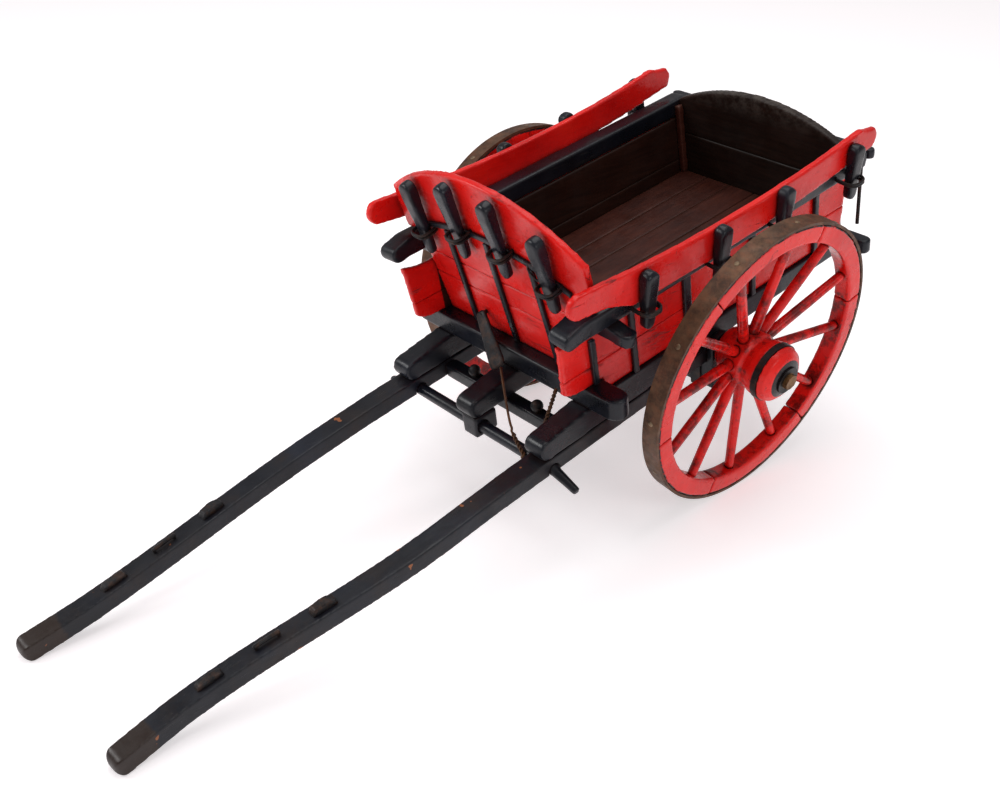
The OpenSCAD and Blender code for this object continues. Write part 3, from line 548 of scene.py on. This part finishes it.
# The lock wire, in millimetres from the crossbar's axis, in the cart's own frame
LOCK_RING = 6.7
LOCK_X = 62
LOCK_FRONT = (12.0, 22, 48)
LOCK_KINK = (46, -3, 17)
LOCK_REAR = (58, 37.5, 40)
RING_POINTS, LEG_POINTS, LONE_POINTS, UNTWIST = 40, 36, 24, 6
TWIST_PITCH, TWIST_OUT, STRAND_R = 6.5 * MM, 0.95 * MM, 1.0 * MM
# The latch paddle over the front sill, in millimetres from the axle, in the cart's own frame
LATCH_TOP, LATCH_FOOT = (-34, -142.5, 54), (4, -161, 26)
LATCH_TWIST = math.radians(50)
LATCH_SIDES, LATCH_THICK = 24, 1.7
LATCH_PIN, LATCH_PIN_R = ((2, -2.4, -1), (2, 7, -1)), 1.8 * MM
LATCH_WIDTHS = ((0.0, 3.2), (0.04, 4.6), (0.3, 5.4), (0.6, 6.4), (0.9, 7.2), (0.97, 6.4), (1.0, 4.4))
# Nails in a tyre, unevenly placed, and a nail head's profile as reach and height in millimetres
NAILS, NAIL_STRAY, NAIL_DRIFT, NAIL_SUNK = 12, 0.12, 0.8 * MM, 0.15 * MM
NAIL_DOME = ((2.3, 0.0), (2.2, 0.25), (1.6, 0.55), (0.8, 0.7))
NAIL_SIDES = 12
RIM_MIDDLE = 7.7 * MM


def flat_axes(mesh):
    """A flat wire's middle and its normal."""
    places = numpy.array([vert.co[:] for vert in mesh.vertices])
    low, high = places.min(axis=0), places.max(axis=0)
    vectors = numpy.linalg.eigh(numpy.cov((places - places.mean(axis=0)).T))[1]
    return Vector((low + high) / 2), Vector(vectors[:, 0])


def stake_rings():
    """Two turns of wire round each stake, where the CAD has its plain ties."""
    shapes = []
    for part in loose_parts(frame["nodes"]["stake_ties"].data):
        middle, normal = flat_axes(part)
        across = CART.to_3x3() @ Vector((0, 1, 0))
        if abs(middle.x) < RING_FRONT:
            across = Vector((1, 0, 0))
            middle += normal * math.copysign(RING_LIFT, normal.z)
        across = (across - normal * across.dot(normal)).normalized()
        out = normal.cross(across)
        wide = max(abs((vert.co - middle).dot(across)) for vert in part.vertices) - RING_TRIM
        deep = max(abs((vert.co - middle).dot(out)) for vert in part.vertices)
        for turn in (-1, 1):
            path = []
            for k in range(RING_STEPS):
                angle = math.tau * k / RING_STEPS
                sideways = across * rounded(math.cos(angle), RING_SQUARE) * wide
                outward = out * rounded(math.sin(angle), RING_SQUARE) * deep
                lift = turn * RING_PITCH + RING_SAG * math.sin(angle + turn)
                path.append(middle + sideways + outward + normal * lift)
            shapes.append(tube(path, RING_WIRE, closed=True))
    mesh = mesh_of("stake_rings", shapes)
    rings = add_object("stake_rings", mesh, ["black_iron"], "tub")
    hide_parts("stake_ties")


def latch_paddle():
    """A flat forged bar that hangs over the front sill, wider towards its foot."""
    top, foot = Vector(LATCH_TOP), Vector(LATCH_FOOT)
    along = (foot - top).normalized()
    level = along.cross(Vector((0, 0, 1))).normalized()
    wide = math.cos(LATCH_TWIST) * along.cross(level).normalized() + math.sin(LATCH_TWIST) * level
    if wide.x < 0:
        wide = -wide
    thick = along.cross(wide).normalized()
    verts = []
    for at, half in LATCH_WIDTHS:
        for k in range(LATCH_SIDES):
            turn = math.tau * k / LATCH_SIDES
            side = rounded(math.cos(turn), 0.5) * half
            rise = rounded(math.sin(turn), 0.7) * LATCH_THICK
            verts.append(CART @ ((top.lerp(foot, at) + wide * side + thick * rise) * MM))
    bar = (verts, skin(len(LATCH_WIDTHS), LATCH_SIDES))
    pin = tube([CART @ ((top + Vector(end)) * MM) for end in LATCH_PIN], LATCH_PIN_R)
    mesh = mesh_of("latch_paddle", [bar, pin])
    paddle = add_object("latch_paddle", mesh, ["black_iron"], "tub")
    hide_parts("latch_bar")


def loose_ring():
    """An open wire ring that hangs round the outer right stake of the front."""
    stake = max(loose_parts(frame["nodes"]["front_stakes"].data), key=lambda mesh: mesh.vertices[0].co.x)
    places = [CART.inverted() @ vert.co for vert in stake.vertices]
    lows = Vector([min(place[k] for place in places) for k in range(3)])
    highs = Vector([max(place[k] for place in places) for k in range(3)])
    middle = Vector((lows.x - LOOSE_OUT, (lows.y + highs.y) / 2, lows.z + LOOSE_UP))
    path = []
    for k in range(LOOSE_STEPS):
        angle = LOOSE_FROM + LOOSE_SWEEP * k / (LOOSE_STEPS - 1)
        reach = Vector((math.cos(angle), -LOOSE_LEAN * math.sin(angle), math.sin(angle)))
        path.append(CART @ (middle + reach * LOOSE_R))
    mesh = mesh_of("loose_ring", [tube(path, LOOSE_WIRE)])
    add_object("loose_ring", mesh, ["black_iron"], "tub")


def lock_path():
    """The lock wire's centre line, from its rear hook round the crossbar to its front hook."""
    axis = Vector(JOINTS["lock_swing"]["pos_m"])
    turn = CART.to_3x3()

    def place(x, y, z):
        return axis + turn @ Vector((x, y, z)) * MM

    def leave(y, z, way):
        return math.atan2(z, y) + way * math.acos(LOCK_RING / math.hypot(y, z))

    start, end = leave(*LOCK_REAR[1:], -1), leave(*LOCK_FRONT[1:], 1) - math.tau
    around = [start + (end - start) * k / RING_POINTS for k in range(RING_POINTS + 1)]
    ring = [place(LOCK_X, LOCK_RING * math.cos(a), LOCK_RING * math.sin(a)) for a in around]
    rear, front = place(*LOCK_REAR), place(*LOCK_FRONT)
    leg_in = [rear.lerp(ring[0], k / LEG_POINTS) for k in range(LEG_POINTS)]
    kink = place(*LOCK_KINK)
    leg_out = []
    for k in range(1, LEG_POINTS + 1):
        u = k / LEG_POINTS
        leg_out.append(ring[-1] * (1 - u) ** 3 + kink * 3 * u * (1 - u) + front * u ** 3)
    return leg_in + ring + leg_out


def lock_wire():
    """Two strands twisted together, and one that runs on alone to the latch."""
    path = lock_path()
    lone = len(path) - LONE_POINTS
    strands = []
    for phase in (0, math.pi):
        points, run = [], 0.0
        side = Vector((1, 0, 0))
        for i, point in enumerate(path):
            if phase and i > lone:
                break
            ahead, behind = path[min(i + 1, len(path) - 1)], path[max(i - 1, 0)]
            along = (ahead - behind).normalized()
            run += (point - behind).length if i else 0
            side = (side - along * side.dot(along)).normalized()
            up = along.cross(side)
            angle = math.tau * run / TWIST_PITCH + phase
            spread = TWIST_OUT * max(0.0, min(1.0, (lone + UNTWIST - i) / UNTWIST))
            points.append(point + spread * (math.cos(angle) * side + math.sin(angle) * up))
        strands.append(tube(points, STRAND_R))
    mesh = mesh_of("twisted_lock_wire", strands)
    wire = add_object("twisted_lock_wire", mesh, ["rusty_wire"], "lock")
    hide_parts("lock_wire")


def nails(side):
    """Domed nail heads round a tyre, two to each felloe."""
    joint = JOINTS[f"wheel_{side}_spin"]
    axis, centre = Vector(joint["axis"]), Vector(joint["pos_m"])
    centre -= axis * RIM_MIDDLE
    first = axis.orthogonal().normalized()
    second = axis.cross(first)
    shapes = []
    for k in range(NAILS):
        angle = math.tau * (k + 0.5 + NAIL_STRAY * math.sin(5 * k)) / NAILS
        out = math.cos(angle) * first + math.sin(angle) * second
        ahead = axis.cross(out)
        base = centre + out * (TYRE_OUT - NAIL_SUNK) + axis * NAIL_DRIFT * math.sin(3 * k)
        verts = []
        for reach, height in NAIL_DOME:
            for j in range(NAIL_SIDES):
                turn = math.tau * j / NAIL_SIDES
                round_it = math.cos(turn) * ahead + math.sin(turn) * axis
                verts.append(base + out * height * MM + round_it * reach * MM)
        shapes.append((verts, skin(len(NAIL_DOME), NAIL_SIDES)))
    name = f"tyre_nails_{side}"
    add_object(name, mesh_of(name, shapes), ["nail_iron"], f"wheel_{side}")


stake_rings()
loose_ring()
latch_paddle()
lock_wire()
for side in ("left", "right"):
    nails(side)


def refinish(node, finish):
    """Gives a CAD node that keeps its shape its material."""
    obj = frame["nodes"][node]
    obj.data.materials.clear()
    obj.data.materials.append(FINISH[finish])


for node in ("crosspiece_bolts", "axle_arms", "axle_straps", "tip_pins", "hub_band_left", "hub_band_right",
             "corner_rods", "tip_hinges"):
    refinish(node, "black_iron")
for side in ("left", "right"):
    refinish("hub_nut_" + side, "hub_brass_" + side)
    refinish("tyre_" + side, "tyre_iron")


# ---------------------------------------------------------------- stage, light and camera
FLOOR_HALF = 9
LENS, SENSOR = 43.93, 36
AZIMUTH, ELEVATION = math.radians(48.278), math.radians(31.126)
CAMERA_OFFSET = Vector((0.6359, -0.7249, 0.4823))


def area_light(name, place, target, size, power):
    data = bpy.data.lights.new(name, "AREA")
    data.shape = "RECTANGLE"
    data.size, data.size_y = size
    data.energy = power
    obj = bpy.data.objects.new(name, data)
    bpy.context.scene.collection.objects.link(obj)
    obj.location = place
    obj.rotation_euler = (Vector(target) - Vector(place)).to_track_quat("-Z", "Y").to_euler()


def build_stage():
    mesh = bpy.data.meshes.new("floor")
    corners = [(x * FLOOR_HALF, y * FLOOR_HALF, 0) for x, y in ((-1, -1), (1, -1), (1, 1), (-1, 1))]
    mesh.from_pydata(corners, [], [(0, 1, 2, 3)])
    floor = bpy.data.objects.new("floor", mesh)
    bpy.context.scene.collection.objects.link(floor)
    t = Tree("pale_floor")
    t.shader.inputs["Emission Color"].default_value = (1.0, 0.965, 0.975, 1)
    t.shader.inputs["Emission Strength"].default_value = 0.5
    mesh.materials.append(t.finish((0.80, 0.775, 0.785, 1), 0.9, gleam=0.1))
    world = bpy.data.worlds.new("studio")
    bpy.context.scene.world = world
    world.use_nodes = True
    back = world.node_tree.nodes["Background"]
    back.inputs["Color"].default_value = (1.0, 0.975, 0.985, 1)
    back.inputs["Strength"].default_value = 0.4
    area_light("top_softbox", (-0.2, 0.3, 1.9), (0, 0, 0.1), (1.5, 1.5), 17)
    area_light("front_softbox", (-1.3, -1.3, 1.3), (0, 0, 0.15), (0.8, 0.7), 15)
    area_light("side_softbox", (1.7, -0.2, 1.2), (0, 0.1, 0.15), (0.9, 0.7), 6)


def build_camera():
    data = bpy.data.cameras.new("camera")
    data.lens = LENS
    data.sensor_width = SENSOR
    data.clip_end = 50
    obj = bpy.data.objects.new("camera", data)
    bpy.context.scene.collection.objects.link(obj)
    obj.location = AXLE + CAMERA_OFFSET
    level = math.cos(ELEVATION)
    back = Vector((math.sin(AZIMUTH) * level, -math.cos(AZIMUTH) * level, math.sin(ELEVATION)))
    obj.rotation_euler = (-back).to_track_quat("-Z", "Y").to_euler()
    bpy.context.scene.camera = obj


build_stage()
build_camera()
bpy.context.scene.view_settings.view_transform = "Standard"
